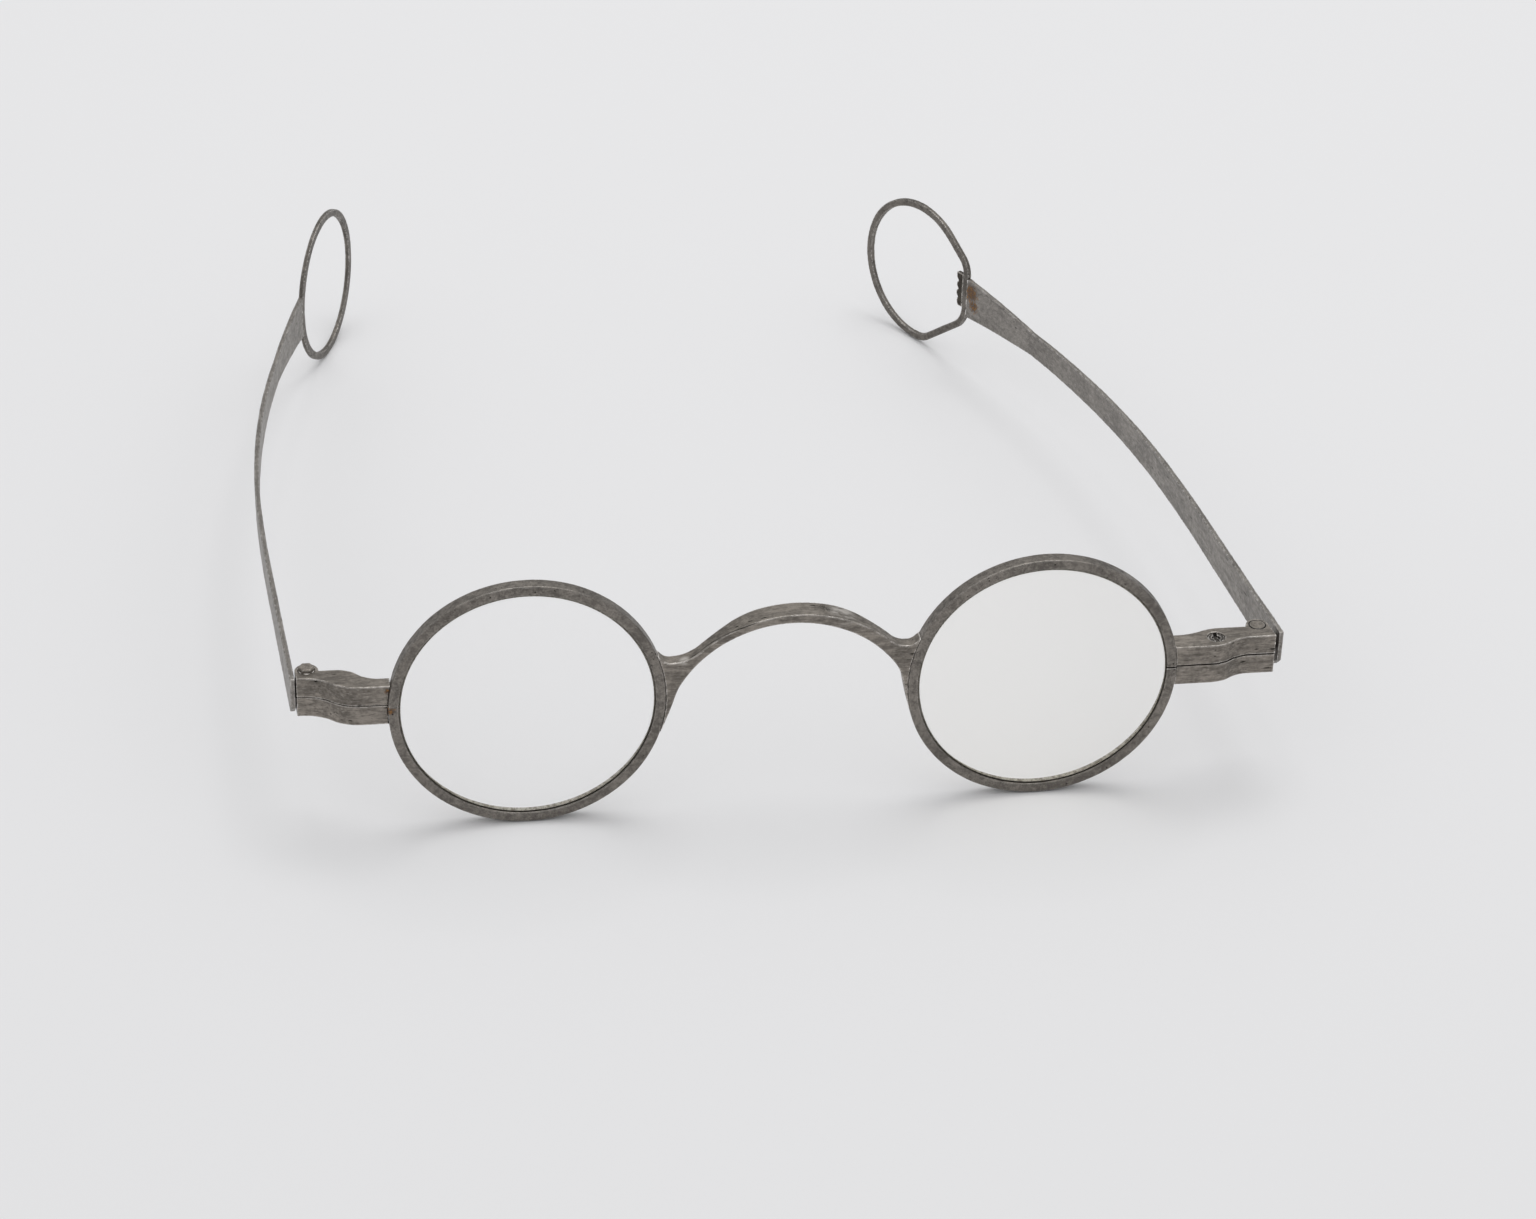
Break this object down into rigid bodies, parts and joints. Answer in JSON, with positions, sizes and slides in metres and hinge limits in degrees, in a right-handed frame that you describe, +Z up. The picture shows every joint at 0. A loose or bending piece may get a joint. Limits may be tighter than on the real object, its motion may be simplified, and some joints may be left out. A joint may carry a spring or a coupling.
{
  "type": "temple spectacles",
  "caption": "Old forged-steel spectacles: round rims, arched bridge, split end blocks and hinged short arms that end in flat rings.",
  "frame": {"origin": "middle of the bounding box in x and y, at the lowest point, on the surface the spectacles stand on", "axes": "+X from the left rim to the right rim as seen from the front, +Y from the front towards the ears, +Z up"},
  "size_m": [0.1226, 0.1212, 0.033],
  "materials": {
    "front_steel": "aged satin, dark patina",
    "arm_steel": "aged satin, dark patina",
    "pin_steel": "worn, dark",
    "screw_steel": "worn, rusty in the slot",
    "braze": "rough, rust brown",
    "lens_glass": "clear, polished"
  },
  "bodies": {
    "front": {"bridge": "front_steel", "rim_left": "front_steel", "lens_left": "lens_glass", "endpiece_upper_left": "front_steel", "endpiece_lower_left": "front_steel", "hinge_pin_left": "pin_steel", "closing_screw_left": "screw_steel", "rim_right": "front_steel", "lens_right": "lens_glass", "endpiece_upper_right": "front_steel", "endpiece_lower_right": "front_steel", "hinge_pin_right": "pin_steel", "closing_screw_right": "screw_steel"},
    "left_temple": {"temple_left": "arm_steel", "temple_ring_left": "arm_steel"},
    "right_temple": {"temple_right": "arm_steel", "temple_ring_right": "arm_steel", "repair_patch_right": "braze"}
  },
  "joints": [
    {"name": "left_hinge", "type": "hinge", "parent": "front", "child": "left_temple", "pos_m": [-0.05662, -0.0545, 0.0171], "axis": [0, -0.0615, -0.9981], "range_deg": [-3, 62]},
    {"name": "right_hinge", "type": "hinge", "parent": "front", "child": "right_temple", "pos_m": [0.05838, -0.05497, 0.01677], "axis": [0, 0.0615, 0.9981], "range_deg": [-3, 72]}
  ]
}
